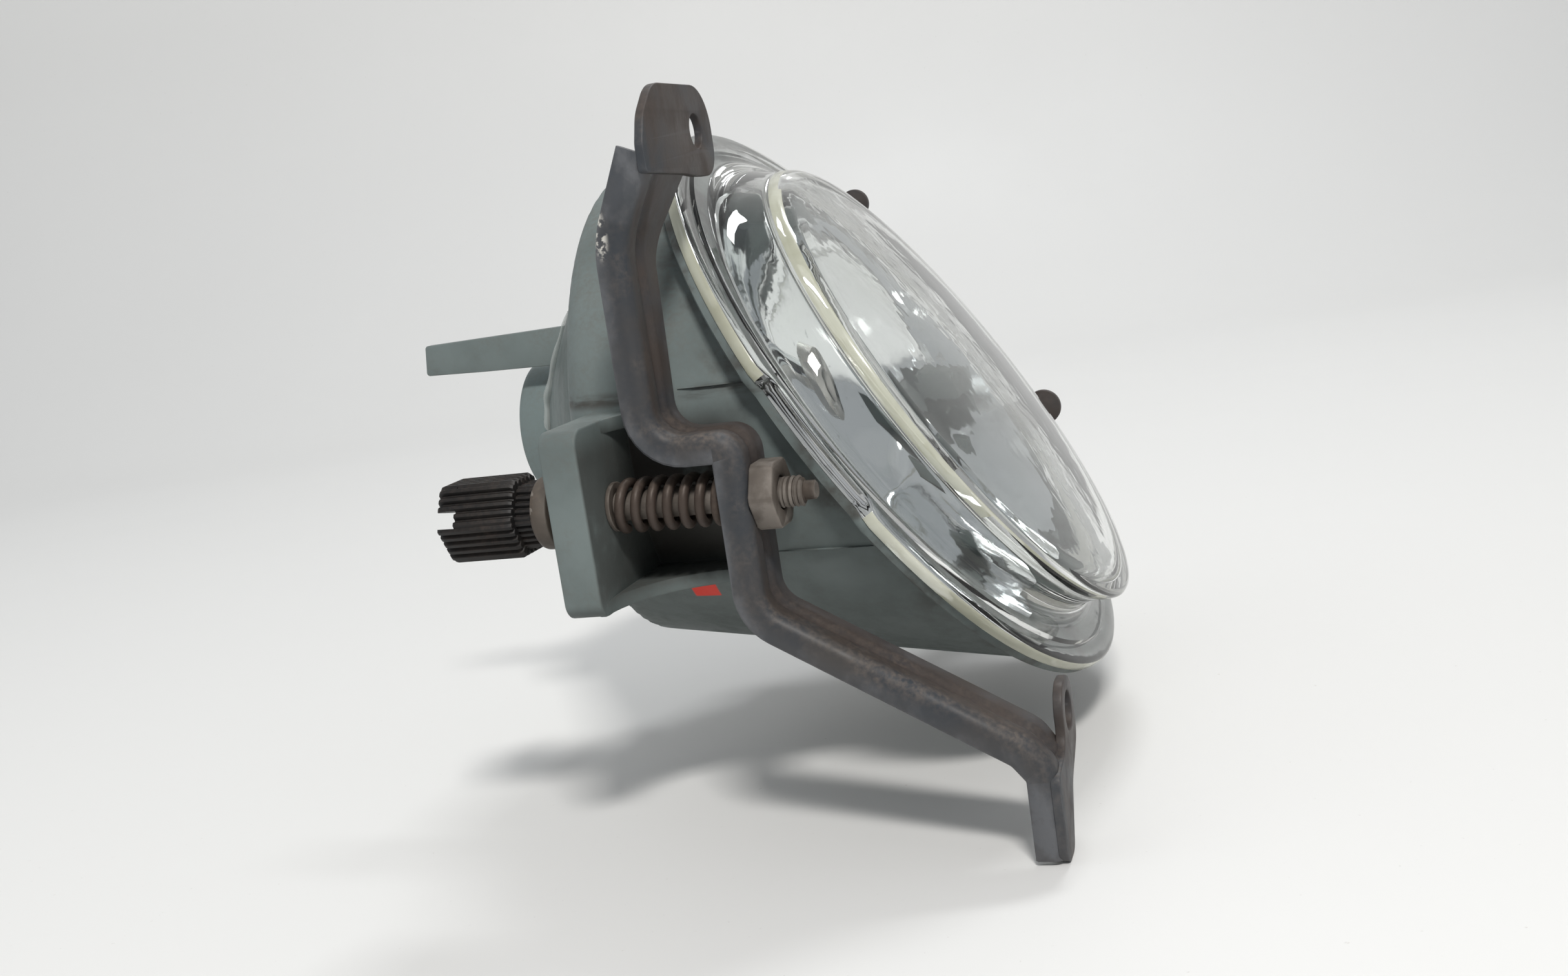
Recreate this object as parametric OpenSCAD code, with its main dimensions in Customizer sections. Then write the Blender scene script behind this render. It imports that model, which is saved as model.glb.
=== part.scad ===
// Front fog light with a swept round lens, a screw-adjusted aim and two mounting brackets.
// Axes: +X is the light's optical axis, +Z is across the swept face, +Y runs from the
// adjuster side to the pivot side. Lengths are in millimetres.
// The origin is the upper bolt hole of the adjuster bracket.

/* [Lens and rim] */
// Radius of the lens rim
rim_r = 78; // [76:0.5:80]
// Sweep of the rim plane away from square to the optical axis, in degrees
rim_sweep = 32; // [28:1:34]
// Radius of the raised lens wall
lens_wall_r = 64; // [62:0.5:65]
// Height of the lens wall above the rim plane
lens_h = 13; // [10:0.5:14]
// Rise of the domed lens face
lens_dome = 5; // [4:0.5:7]
// Thickness of the lens
lens_t = 2.6; // [2:0.1:3]

/* [Housing] */
// Half width of the housing along Y
bowl_half_y = 71; // [70:0.5:72]
// Half height of the housing along Z
bowl_half_z = 56; // [55:0.5:56]
// Offset of the housing's section along Z
bowl_lift = -3.5; // [-4:0.5:-3]
// Tilt of the housing's section, so that its lower side falls to the front
bowl_tilt = 8; // [7:0.5:8.5]
// Wall thickness of the housing
wall = 2.4; // [2:0.1:3]
// Distance from the rim centre back to the flat of the housing's rear
bowl_depth = 83.8; // [83:0.1:84.5]
// Radius of the bulb port's neck
neck_r = 15; // [14.5:0.1:15.2]

/* [Adjuster] */
// Distance from the optical axis to the adjuster's axis
adjuster_reach = 81.5; // [81:0.1:82]
// Height of the adjuster's axis
adjuster_z = -6.8; // [-8:0.1:-6]
// Radius of the adjuster screw, half of M6
screw_r = 3; // [2.5:0.1:3]
// Thread pitch of the adjuster screw
screw_pitch = 1; // [0.8:0.1:1]
// Thickness of the housing's adjuster ear
ear_t = 8; // [6:0.5:8]
// Length of the adjuster knob
knob_len = 20.6; // [18:0.2:22]
// Radius of the knob over its corners
knob_r = 9.2; // [8:0.1:9.4]
// Outer radius of the aim spring
spring_r = 5.6; // [5.4:0.1:5.8]
// Wire radius of the aim spring
spring_wire_r = 1; // [0.8:0.1:1]

/* [Brackets] */
// Thickness of the bracket sheet
sheet = 1.8; // [1.5:0.1:2]
// Width of the adjuster bracket's web
web_w = 14; // [12:0.5:14]
// Depth of the adjuster bracket's stiffening flange
lip = 6.5; // [5:0.5:7]
// Radius of the upper bolt hole
upper_hole_r = 3.7; // [3.2:0.1:4.2]
// Radius of the lower bolt hole
lower_hole_r = 4.2; // [3.2:0.1:4.5]
// Radius of the two bolt holes in the pivot bracket
pivot_hole_r = 3.3; // [3:0.1:3.6]
// Radius of the pivot pin
pin_r = 2.5; // [2:0.1:2.6]

/* [Bulb] */
// Focal length of the reflector
focal = 24; // [22:1:26]
// Radius of the bulb's glass
glass_r = 5.75; // [5:0.25:6]
// Radius of the glare shield in front of the bulb
shield_r = 11; // [10:0.5:12]

/* [Hidden] */

round_fn = 120;
bore_fn = 48;
big = 400;
// Gap left between two faces that touch within one body
touch = 0.05;
// Radial clearance of a running fit
run = 0.06;

// The datum: centre of the upper bolt hole, measured from the rim centre
upper_hole = [-21, -59.3, 64.3];

paint_black = [0.16, 0.17, 0.18];
plastic_grey = [0.42, 0.48, 0.48];
plastic_black = [0.07, 0.07, 0.08];
steel = [0.55, 0.53, 0.50];
mirror_silver = [0.85, 0.86, 0.88];
rubber_black = [0.10, 0.10, 0.10];
clear_plastic = [0.88, 0.92, 0.90, 0.35];

// Bowl: outline of the rear
bowl_flat_r = 21;
cone_front = [-67, 46];
shoulder_foot = [-58.9, 52.5];
shoulder_r = 11;
shoulder_x = -47;
shoulder_start = 170;
shoulder_steps = 8;
bowl_front_x = 70;

// Rim plane stations, measured along the rim axis
flange_back = -4;
flange_face = -2;
lens_flange_top = 1.5;
lens_lift = 1.6;
seal_in = rim_r - 5;
seal_out = rim_r - 2.5;
seal_depth = 1.2;
// The rim is cut back beside the adjuster so that its nut clears
notch_low = -16;
notch_high = 18;
notch_r = 75.5;

// Adjuster stations along X
ear_front = -42;
ear_back = ear_front - ear_t;
ear_side = -95;
ear_top = 11;
ear_bottom = -26.5;
washer_t = 0.9;
collar_back = -57.5;
collar_r = 7.5;
knob_back = collar_back - knob_len;
slot_w = 3.4;
slot_depth = 4.6;
rib_count = 5;
rib_w = 0.9;
rib_depth = 0.55;
screw_end = 0.5;
screw_back = -70;
thread_start = -18;
retainer_r = 5;
retainer_t = 1;
web_front = -11.3;
nut_t = 5;
nut_flats = 13;
// The screw tilts a little in the nut as the light is aimed
swing_hole_r = screw_r + 0.35;

// Adjuster bracket
bracket_side = -89;
web_edge = bracket_side + web_w;
bracket_path = [
    [-21, 58], [-28.3, 44], [-28.3, 7], [web_front, 7], [web_front, -28],
    [36.8, -56.8], [41.2, -62.5], [41.2, -81]
];
plate_r = 9;
lower_plate_x = 41.2;

// Pivot, with its axis along Z
pivot_x = -9.5;
pivot_y = 79;
lug_r = 6;
lug_t = 8;
lug_low = [-34, -14];
bush_r = 4;
pivot_plate_y = 87;
ear_gap = 0.4;

// Bulb and reflector
reflector_t = 1.5;
reflector_apex = -64;
reflector_steps = 18;
filament_x = reflector_apex + focal;
port_r = 11.6;
clip_screw_z = 15.4;
flange_x = -69;

// Rear cap
cap_r = 17.6;
cap_back = -94.3;
cap_front = -85.8;
cap_wall = 2.4;
neck_back = -90.3;
socket_x = -90.05;
socket_w = 8.4;
socket_h = 15;
socket_wall = 1.7;
socket_end = 36;
socket_floor = 21;

// ---- helpers ---------------------------------------------------------------

// Puts a shape drawn from the rim centre into the part's own frame
module place() translate(-upper_hole) children();

// Turns an outline of [x, radius] points about the X axis
module revolve_x(outline, fn = round_fn)
    rotate([0, 90, 0])
        rotate_extrude($fn = fn) polygon([for (p = outline) [p[1], p[0]]]);

// Turns an outline of [height, radius] points about the rim axis
module revolve_rim(outline)
    rotate([0, 90 - rim_sweep, 0])
        rotate_extrude($fn = round_fn) polygon([for (p = outline) [p[1], p[0]]]);

// Everything in front of the plane at this height above the rim plane
module ahead_of_rim(height)
    rotate([0, 90 - rim_sweep, 0])
        translate([-big / 2, -big / 2, height]) cube(big);

// Extrusions of a flat outline: along X from x, along Y from y and along Z from z
module along_x(x, t) translate([x, 0, 0]) rotate([90, 0, 90]) linear_extrude(t) children();
module along_y(y, t) translate([0, y + t, 0]) rotate([90, 0, 0]) linear_extrude(t) children();
module along_z(z, t) translate([0, 0, z]) linear_extrude(t) children();

// A flat outline drawn in the rim plane's own directions, then turned to X and Z
module rim_outline() rotate([0, 0, rim_sweep]) children();

// A tube around the X axis
module tube_x(x0, x1, r_out, r_in)
    revolve_x([[x0, r_in], [x0, r_out], [x1, r_out], [x1, r_in]], bore_fn);

// A rounded slab between two points
module bar(p, q, w) {
    d = q - p;
    translate(p) circle(w / 2, $fn = bore_fn);
    translate(q) circle(w / 2, $fn = bore_fn);
    translate(p) rotate(atan2(d[1], d[0])) translate([0, -w / 2]) square([norm(d), w]);
}

module on_adjuster() translate([0, -adjuster_reach, adjuster_z]) children();

// Offsets a path to its right by d, with mitred corners
function unit(v) = v / norm(v);
function right_of(v) = [v[1], -v[0]];
function path_side(path, d) = [
    for (i = [0:len(path) - 1])
        let (
            before = i == 0 ? unit(path[1] - path[0]) : unit(path[i] - path[i - 1]),
            after = i == len(path) - 1 ? before : unit(path[i + 1] - path[i]),
            n = unit(right_of(before) + right_of(after)),
            stretch = n * right_of(before)
        )
        path[i] + n * d / stretch
];
function reversed(list) = [for (i = [len(list) - 1:-1:0]) list[i]];
function strip(path, near, far) = concat(path_side(path, near), reversed(path_side(path, far)));

// ---- housing ---------------------------------------------------------------

function bowl_outline(inset) = concat(
    [[inset - bowl_depth, 0], [inset - bowl_depth, bowl_flat_r - inset / 2],
     cone_front + [inset, -inset / 3], shoulder_foot + [inset, -inset / 4]],
    [for (i = [0:shoulder_steps])
        let (a = shoulder_start - (shoulder_start - 90) * i / shoulder_steps)
        [shoulder_x + (shoulder_r - inset) * cos(a), bowl_half_y - shoulder_r + (shoulder_r - inset) * sin(a)]],
    [[bowl_front_x, bowl_half_y + 6 - inset], [bowl_front_x, 0]]
);

module oval(half_y, half_z)
    polygon([for (i = [0:95]) [half_y * cos(i * 3.75), half_z * sin(i * 3.75)]]);

module oval_prism(inset, x0, x1)
    translate([0, 0, bowl_lift])
        rotate([0, bowl_tilt, 0])
            along_x(x0 - 12, x1 - x0 + 24) oval(bowl_half_y - inset, bowl_half_z - inset);

module bowl_solid(inset, front)
    difference() {
        intersection() {
            revolve_x(bowl_outline(inset));
            oval_prism(inset, -bowl_depth - 1, bowl_front_x);
        }
        ahead_of_rim(front);
    }

// The part of the rim that is cut back beside the adjuster
module rim_notch(r)
    rotate([0, 90 - rim_sweep, 0])
        translate([-notch_high, -rim_r - 4, flange_back - 1])
            difference() {
                cube([notch_high - notch_low, rim_r, lens_flange_top - flange_back + 2]);
                translate([notch_high, rim_r + 4, -1]) cylinder(r = r, h = 20, $fn = round_fn);
            }

module gusset(z, r, centre_y)
    along_z(z, 3)
        difference() {
            translate([ear_front - 1, ear_side + 3]) square([r, 36]);
            translate([ear_front + 0.5 + r, centre_y]) circle(r, $fn = round_fn);
            translate([ear_front + 0.5, ear_side]) square([r, centre_y - ear_side]);
        }

module ear() {
    along_x(ear_back, ear_t)
        difference() {
            union() {
                translate([ear_side + 3, ear_bottom]) square([36, ear_top - ear_bottom]);
                translate([ear_side, ear_bottom + 3]) square([36, ear_top - ear_bottom - 6]);
                for (z = [ear_bottom + 3, ear_top - 3])
                    translate([ear_side + 3, z]) circle(3, $fn = bore_fn);
            }
            translate([-adjuster_reach, adjuster_z]) circle(screw_r + run, $fn = bore_fn);
        }
    // Concave gussets run from the ear to the side wall. The upper one is small,
    // so that the bracket behind it stays clear as the light is aimed
    gusset(ear_bottom, 21, ear_side + 1.5);
    gusset(ear_top - 3, 12, ear_side + 12);
}

module pivot_lugs()
    for (z = lug_low)
        along_z(z, lug_t)
            difference() {
                union() {
                    translate([pivot_x, pivot_y]) circle(lug_r, $fn = bore_fn);
                    translate([pivot_x - lug_r, 50]) square([2 * lug_r, pivot_y - 50]);
                }
                translate([pivot_x, pivot_y]) circle(bush_r + touch / 2, $fn = bore_fn);
            }

module rear_arm()
    along_y(-17.2, 2.6)
        polygon([[-116.6, 18.2], [-115.6, 25.6], [-70, 26.6], [-70, 17], [-100, 17.6]]);

module housing() color(plastic_grey) place() {
    difference() {
        union() {
            bowl_solid(0, flange_face);
            difference() {
                revolve_rim([
                    [flange_back, 60], [flange_back, rim_r - 0.5],
                    [flange_face, rim_r - 0.5], [flange_face, 60]
                ]);
                rim_notch(notch_r);
            }
            tube_x(neck_back, 1 - bowl_depth, neck_r, 2);
            ear();
            pivot_lugs();
            rear_arm();
            vent_spigot();
        }
        bowl_solid(wall, 10);
        // Bulb port
        revolve_x([[neck_back - 1, 0], [neck_back - 1, neck_r - 2.4],
            [-60, neck_r - 2.4], [-60, 0]], bore_fn);
        // Groove for the lens seal
        revolve_rim([
            [flange_face - seal_depth, seal_in], [flange_face - seal_depth, seal_out],
            [2, seal_out], [2, seal_in]
        ]);
        translate(vent_at) rotate([0, -90, 0])
            translate([0, 0, -20]) cylinder(r = 1.5, h = 60, $fn = bore_fn);
    }
}

// ---- vent ------------------------------------------------------------------
vent_at = [-68.5, 18, -36];

module vent_spigot()
    translate(vent_at) rotate([0, -90, 0]) translate([0, 0, -4]) cylinder(r = 3, h = 12, $fn = bore_fn);

module vent_cap() color(rubber_black) place()
    translate(vent_at)
        revolve_x([
            [-11, 0], [-11, 4], [-10, 5], [-5.8, 5], [-5.8, 3 + touch],
            [-8 - touch, 3 + touch], [-8 - touch, 0]
        ], bore_fn);

// ---- lens ------------------------------------------------------------------

// The lens wall is drawn along X from a circle in the rim plane, so it leans on the flange
module lens_prism(inset)
    along_x(-60, 130)
        translate([0, lens_lift])
            oval(lens_wall_r - inset, (lens_wall_r - inset) * cos(rim_sweep));

// The ball that the domed face is part of, centred on the leaning wall
module lens_ball(inset) {
    r = (pow(lens_wall_r, 2) + pow(lens_dome, 2)) / (2 * lens_dome);
    lean = lens_lift / cos(rim_sweep) - lens_h * tan(rim_sweep);
    rotate([0, 90 - rim_sweep, 0])
        translate([-lean, 0, lens_h + lens_dome - r]) sphere(r = r - inset, $fn = round_fn);
}

module lens_body(inset, back)
    intersection() {
        lens_prism(inset);
        lens_ball(inset);
        ahead_of_rim(back);
    }

module lens() color(clear_plastic) place()
    difference() {
        union() {
            revolve_rim([[flange_face, 0], [flange_face, rim_r],
                [lens_flange_top, rim_r], [lens_flange_top, 0]]);
            lens_body(0, flange_face);
        }
        lens_body(lens_t, -20);
        rim_notch(notch_r);
    }

module lens_seal() color(rubber_black) place()
    difference() {
        revolve_rim([
            [flange_face - seal_depth + touch, seal_in + touch],
            [flange_face - seal_depth + touch, seal_out - touch],
            [flange_face - touch, seal_out - touch], [flange_face - touch, seal_in + touch]
        ]);
        rim_notch(notch_r);
    }

// ---- reflector -------------------------------------------------------------

function mirror_outline(shift) = concat(
    [[reflector_apex + shift, 0]],
    [for (i = [1:reflector_steps])
        let (r = 76 * i / reflector_steps)
        [reflector_apex + shift + r * r / (4 * focal), r]],
    [[bowl_front_x, 76], [bowl_front_x, 0]]
);

module mirror_solid(shift, inset, front)
    difference() {
        intersection() {
            revolve_x(mirror_outline(shift));
            oval_prism(inset, -bowl_depth, bowl_front_x);
        }
        ahead_of_rim(front);
    }

module reflector() color(mirror_silver) place()
    difference() {
        union() {
            mirror_solid(-reflector_t, wall + touch, flange_face - touch);
            tube_x(flange_x + touch, reflector_apex, port_r + 2.2, 5);
            // Boss for the bulb clip's screw
            translate([flange_x + touch, 0, clip_screw_z])
                rotate([0, 90, 0]) cylinder(r = 2.8, h = 6.5, $fn = bore_fn);
        }
        mirror_solid(0, wall + touch + reflector_t, 10);
        revolve_x([[-90, 0], [-90, port_r], [-50, port_r], [-50, 0]], bore_fn);
        shield_rivet_holes();
        translate([flange_x - 5, 0, clip_screw_z])
            rotate([0, 90, 0]) cylinder(r = 1.35, h = 7, $fn = bore_fn);
    }

// ---- glare shield ----------------------------------------------------------
leg_r = 14;
leg_w = 4;
leg_t = 0.8;
leg_back = -60.2;
rivet_y = leg_r + 2.6;

module shield_rivet_holes()
    for (s = [-1, 1])
        translate([leg_back - 10, s * rivet_y, 0])
            rotate([0, 90, 0]) cylinder(r = 1.25, h = 20, $fn = bore_fn);

module glare_shield() color(steel) place() {
    revolve_x([
        [-24, 0], [-23, 5], [-24, shield_r], [-29, shield_r + 1],
        [-29, shield_r + 0.2], [-24.8, shield_r - 0.8], [-23.8, 4.8], [-24.8, 0]
    ], bore_fn);
    difference() {
        for (s = [-1, 1])
            along_z(-leg_w / 2, leg_w)
                polygon([
                    [-29.5, s * (shield_r - 0.2)], [-28, s * (shield_r + 0.9)],
                    [-33, s * leg_r], [leg_back + leg_t, s * leg_r],
                    [leg_back + leg_t, s * (leg_r + 5)], [leg_back, s * (leg_r + 5)],
                    [leg_back, s * (leg_r - leg_t)], [-33.4, s * (leg_r - leg_t)]
                ]);
        shield_rivet_holes();
    }
}

module shield_rivets() color(steel) place()
    for (s = [-1, 1])
        translate([0, s * rivet_y, 0])
            revolve_x([
                [-66, 0], [-66, 1.2], [leg_back + leg_t + touch, 1.2],
                [leg_back + leg_t + touch, 2.2], [leg_back + leg_t + 0.8, 1.6],
                [leg_back + leg_t + 1, 0]
            ], bore_fn);

// ---- bulb ------------------------------------------------------------------

module bulb_flange() color(steel) place()
    revolve_x([
        [flange_x - 1, 6.5 + touch], [flange_x - 1, 12.2], [flange_x, 12.2], [flange_x, 11],
        [flange_x + 0.8, 11], [flange_x + 0.8, 6.5 + touch]
    ], bore_fn);

module bulb_base() color(steel) place()
    revolve_x([
        [-76, 0], [-76, 6.5], [-60, 6.5], [-60, glass_r + touch],
        [-64, glass_r + touch], [-64, 0]
    ], bore_fn);

module bulb_glass() color(clear_plastic) place()
    revolve_x(concat(
        [[-64 + touch, 0], [-64 + touch, glass_r], [filament_x + 6, glass_r]],
        [for (i = [1:8]) [filament_x + 6 + 5 * sin(i * 10), glass_r * cos(i * 10)]],
        [[filament_x + 10.2, 0], [filament_x + 9.2, 0]],
        [for (i = [8:-1:0]) [filament_x + 5.4 + 4 * sin(i * 10), (glass_r - 0.9) * cos(i * 10)]],
        [[-60, glass_r - 0.9], [-60, 0]]
    ), bore_fn);

module bulb_filament() color(steel) place() {
    tube_x(filament_x - 2.6, filament_x + 2.6, 0.9, 0.4);
    for (s = [-1, 1])
        translate([-60 + touch, s * 0.65, 0])
            rotate([0, 90, 0]) cylinder(r = 0.25, h = s > 0 ? 22.6 : 17.4 - 0.02, $fn = bore_fn);
}

module bulb_clip() color(steel) place()
    translate([flange_x - 1 - 0.65, 0, 0]) {
        for (s = [-1, 1])
            translate([0, -11.4, s * 8]) rotate([-90, 0, 0]) cylinder(r = 0.6, h = 22.8, $fn = bore_fn);
        for (y = [-11.4, 11.4])
            translate([0, y, -8.3]) cylinder(r = 0.6, h = 16.6, $fn = bore_fn);
    }

module clip_screw() color(steel) place()
    translate([0, 0, clip_screw_z])
        revolve_x([
            [-72.6, 0], [-72.6, 2.4], [-71, 2.4], [-71, 1.3], [-67.2, 1.3], [-67.2, 0]
        ], bore_fn);

// ---- adjuster --------------------------------------------------------------

module adjuster_knob() color(plastic_black) place() on_adjuster()
    difference() {
        along_x(knob_back, knob_len)
            intersection() {
                circle(knob_r, $fn = 6);
                circle(knob_r - 0.35, $fn = bore_fn);
            }
        for (face = [0:5], rib = [0:rib_count - 1])
            rotate([30 + face * 60, 0, 0])
                translate([knob_back - 1, (rib - 2) * 1.75 - rib_w / 2,
                    knob_r * cos(30) - rib_depth])
                    cube([knob_len - 2, rib_w, 2]);
        translate([knob_back - 1, -slot_w / 2, -knob_r - 1])
            cube([slot_depth + 1, slot_w, 2 * knob_r + 2]);
        revolve_x([
            [screw_back - touch, 0], [screw_back - touch, screw_r + touch],
            [collar_back + 1, screw_r + touch], [collar_back + 1, 0]
        ], bore_fn);
    }

module adjuster_collar() color(steel) place() on_adjuster()
    revolve_x([
        [collar_back, screw_r + touch], [collar_back, collar_r - 0.4],
        [collar_back + 0.6, collar_r], [collar_back + 3.6, collar_r],
        [collar_back + 4.2, 5.2], [ear_back - washer_t, 5.2],
        [ear_back - washer_t, screw_r + touch]
    ], bore_fn);

thread_turns = floor((screw_end - 1.6 - thread_start) / screw_pitch);

module adjuster_screw() color(steel) place() on_adjuster()
    revolve_x(concat(
        [[screw_back, 0], [screw_back, screw_r], [thread_start, screw_r]],
        [for (i = [0:thread_turns - 1], half = [0, 1])
            [thread_start + (i + (half + 1) / 2) * screw_pitch,
             half == 0 ? screw_r - 0.55 : screw_r - 0.05]],
        [[screw_end - 1.4, 2], [screw_end, 1.9], [screw_end, 0]]
    ), bore_fn);

module screw_retainer() color(steel) place() on_adjuster()
    tube_x(ear_front + touch, ear_front + retainer_t, retainer_r, screw_r + touch);

module ear_washer() color(steel) place() on_adjuster()
    along_x(ear_back - washer_t + touch / 2, washer_t - touch)
        difference() {
            translate([-6.5, -6.5]) square(13);
            circle(screw_r + 0.3, $fn = bore_fn);
        }

// Helical wire with closed coils at the ear end
spring_start = ear_front + retainer_t + spring_wire_r + touch;
spring_stop = web_front - sheet - spring_wire_r - touch;
spring_turns = 8;
spring_closed = 1.5;
spring_sides = 8;
spring_per_turn = 14;
coil_r = spring_r - spring_wire_r;
closed_pitch = 2 * spring_wire_r + 0.1;
open_pitch = (spring_stop - spring_start - spring_closed * closed_pitch)
    / (spring_turns - spring_closed);
function spring_x(t) = spring_start
    + (t < spring_closed ? t * closed_pitch
        : spring_closed * closed_pitch + (t - spring_closed) * open_pitch);
function spring_ring(i) =
    let (t = i / spring_per_turn, a = t * 360)
    [for (k = [0:spring_sides - 1])
        let (b = k * 360 / spring_sides, r = coil_r + spring_wire_r * cos(b))
        [spring_x(t) + spring_wire_r * sin(b), r * cos(a), r * sin(a)]];

module aim_spring() color(steel) place() on_adjuster() {
    rings = spring_turns * spring_per_turn;
    points = [for (i = [0:rings]) each spring_ring(i)];
    sides = [
        for (i = [0:rings - 1], k = [0:spring_sides - 1])
            let (a = i * spring_sides + k, b = i * spring_sides + (k + 1) % spring_sides)
            [a, b, b + spring_sides, a + spring_sides]
    ];
    first = [for (k = [spring_sides - 1:-1:0]) k];
    last = [for (k = [0:spring_sides - 1]) rings * spring_sides + k];
    polyhedron(points, concat(sides, [first, last]), convexity = 10);
}

// ---- adjuster bracket ------------------------------------------------------

module adjuster_bracket() color(paint_black) place()
    difference() {
        union() {
            along_y(bracket_side, web_w) polygon(strip(bracket_path, 0, sheet));
            along_y(bracket_side, sheet) polygon(strip(bracket_path, 0, lip));
            // Bolt plate at the top
            along_x(upper_hole[0] - sheet, sheet) {
                bar([bracket_side + plate_r + 1.5, upper_hole[2]],
                    [upper_hole[1], upper_hole[2]], 2 * plate_r);
                translate([bracket_side, 56.5]) square([14, 6]);
            }
            // Bolt plate at the bottom
            along_x(lower_plate_x - sheet, sheet) {
                bar([-70.5, -57], [-70.5, -68], 13);
                translate([bracket_side, -81]) square([18, 16]);
            }
        }
        along_x(upper_hole[0] - 10, 20)
            translate([upper_hole[1], upper_hole[2]]) circle(upper_hole_r, $fn = bore_fn);
        along_x(lower_plate_x - 10, 20)
            translate([-70.5, -57]) circle(lower_hole_r, $fn = bore_fn);
        along_x(web_front - 10, 20)
            translate([-adjuster_reach, adjuster_z]) circle(swing_hole_r, $fn = bore_fn);
    }

module adjuster_nut() color(steel) place() on_adjuster()
    along_x(web_front, nut_t)
        difference() {
            intersection() {
                circle(nut_flats / 2 / cos(30), $fn = 6);
                circle(nut_flats / 2 / cos(30) - 0.4, $fn = bore_fn);
            }
            circle(swing_hole_r, $fn = bore_fn);
        }

// ---- pivot bracket ---------------------------------------------------------
upper_ear_z = lug_low[1] + lug_t + ear_gap;
lower_ear_z = lug_low[0] - ear_gap - sheet;

module pivot_bracket() color(paint_black) place()
    difference() {
        union() {
            along_y(pivot_plate_y, sheet)
                rim_outline() {
                    bar([-11, -36], [-11, 48], 20);
                    bar([-11, -26], [-26, -24], 20);
                    // Two hooked locating tabs
                    bar([-8, 53], [-1.5, 53], 8.4);
                    bar([-8, -27], [4.5, -27], 10);
                }
            for (z = [upper_ear_z, lower_ear_z])
                along_z(z, sheet)
                    difference() {
                        union() {
                            translate([pivot_x, pivot_y]) circle(5.6, $fn = bore_fn);
                            translate([pivot_x - 5.6, pivot_y])
                                square([11.2, pivot_plate_y + 1 - pivot_y]);
                        }
                        translate([pivot_x, pivot_y]) circle(pin_r + 0.02, $fn = bore_fn);
                    }
        }
        along_y(pivot_plate_y - 5, 10)
            rim_outline() {
                translate([-12, 42]) circle(pivot_hole_r, $fn = bore_fn);
                translate([-12, -38]) circle(pivot_hole_r, $fn = bore_fn);
            }
    }

module pivot_pin() color(steel) place()
    translate([pivot_x, pivot_y, 0])
        difference() {
            union() {
                translate([0, 0, lower_ear_z - 3])
                    cylinder(r = pin_r, h = upper_ear_z + sheet - lower_ear_z + 3 + 0.1, $fn = bore_fn);
                translate([0, 0, upper_ear_z + sheet + touch])
                    cylinder(r = pin_r + 1.6, h = 1.8, $fn = bore_fn);
            }
            translate([0, 0, lower_ear_z - 1.6])
                difference() {
                    cylinder(r = pin_r + 1, h = 0.9, $fn = bore_fn);
                    translate([0, 0, -1]) cylinder(r = pin_r - 0.6, h = 3, $fn = bore_fn);
                }
        }

module pivot_clip() color(steel) place()
    translate([pivot_x, pivot_y, 0])
        along_z(lower_ear_z - 1.55, 0.8)
            difference() {
                circle(5, $fn = bore_fn);
                circle(pin_r - 0.55, $fn = bore_fn);
                translate([-1.5, -6]) square([3, 6]);
            }

module pivot_bushes() color("ivory") place()
    for (z = lug_low)
        translate([pivot_x, pivot_y, z])
            difference() {
                cylinder(r = bush_r, h = lug_t, $fn = bore_fn);
                translate([0, 0, -1]) cylinder(r = pin_r + run, h = lug_t + 2, $fn = bore_fn);
            }

// ---- rear cap --------------------------------------------------------------

module rear_cap() color(plastic_grey) place()
    difference() {
        union() {
            revolve_x([
                [cap_back, 0], [cap_back, cap_r - 2], [cap_back + 0.6, cap_r - 0.6],
                [cap_back + 2, cap_r], [cap_front, cap_r], [cap_front, 0]
            ]);
            along_y(cap_r - 4, socket_end - cap_r + 4)
                translate([socket_x - socket_w / 2, -socket_h / 2]) square([socket_w, socket_h]);
        }
        revolve_x([
            [cap_back + cap_wall, 0], [cap_back + cap_wall, neck_r + run],
            [cap_front + 5, neck_r + run], [cap_front + 5, 0]
        ]);
        along_y(socket_floor, 30)
            translate([socket_x - socket_w / 2 + socket_wall, -socket_h / 2 + socket_wall])
                square([socket_w - 2 * socket_wall, socket_h - 2 * socket_wall]);
        for (s = [-1, 1])
            along_y(10, 20)
                translate([socket_x - 1.45, s * 4.6 - 0.45]) square([2.9, 0.9]);
    }

module cap_seal() color(rubber_black) place()
    tube_x(cap_front + touch, -bowl_depth - touch, cap_r - 0.6, neck_r + touch);

module connector_pins() color("goldenrod") place()
    for (s = [-1, 1])
        along_y(15.2, 17)
            translate([socket_x - 1.4, s * 4.6 - 0.4]) square([2.8, 0.8]);

module contact_blades() color("goldenrod") place() {
    // One blade runs to the bulb's tip contact, the other to its shell
    for (s = [-1, 1]) {
        along_z(s * 3.4 - 2, 4)
            polygon([
                [cap_back + cap_wall + touch, s * 11], [cap_back + cap_wall + touch, s * 2],
                [cap_back + 5.6, s * 2], [-76.3, s * 1.2], [-76.3, s * 2.2],
                [cap_back + 6.2, s * 2.9], [cap_back + 3.5, s * 2.9], [cap_back + 3.5, s * 11]
            ]);
    }
}

adjuster_bracket();
adjuster_nut();
pivot_bracket();
pivot_pin();
pivot_clip();
housing();
lens();
lens_seal();
reflector();
glare_shield();
shield_rivets();
bulb_flange();
bulb_base();
bulb_glass();
bulb_filament();
bulb_clip();
clip_screw();
vent_cap();
pivot_bushes();
ear_washer();
adjuster_knob();
adjuster_collar();
adjuster_screw();
screw_retainer();
aim_spring();
rear_cap();
cap_seal();
contact_blades();
connector_pins();
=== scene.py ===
"""Round front fog light with a swept lens, its aim adjuster and its two brackets."""

import math

import bmesh
import bpy
from mathutils import Matrix, Vector


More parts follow.
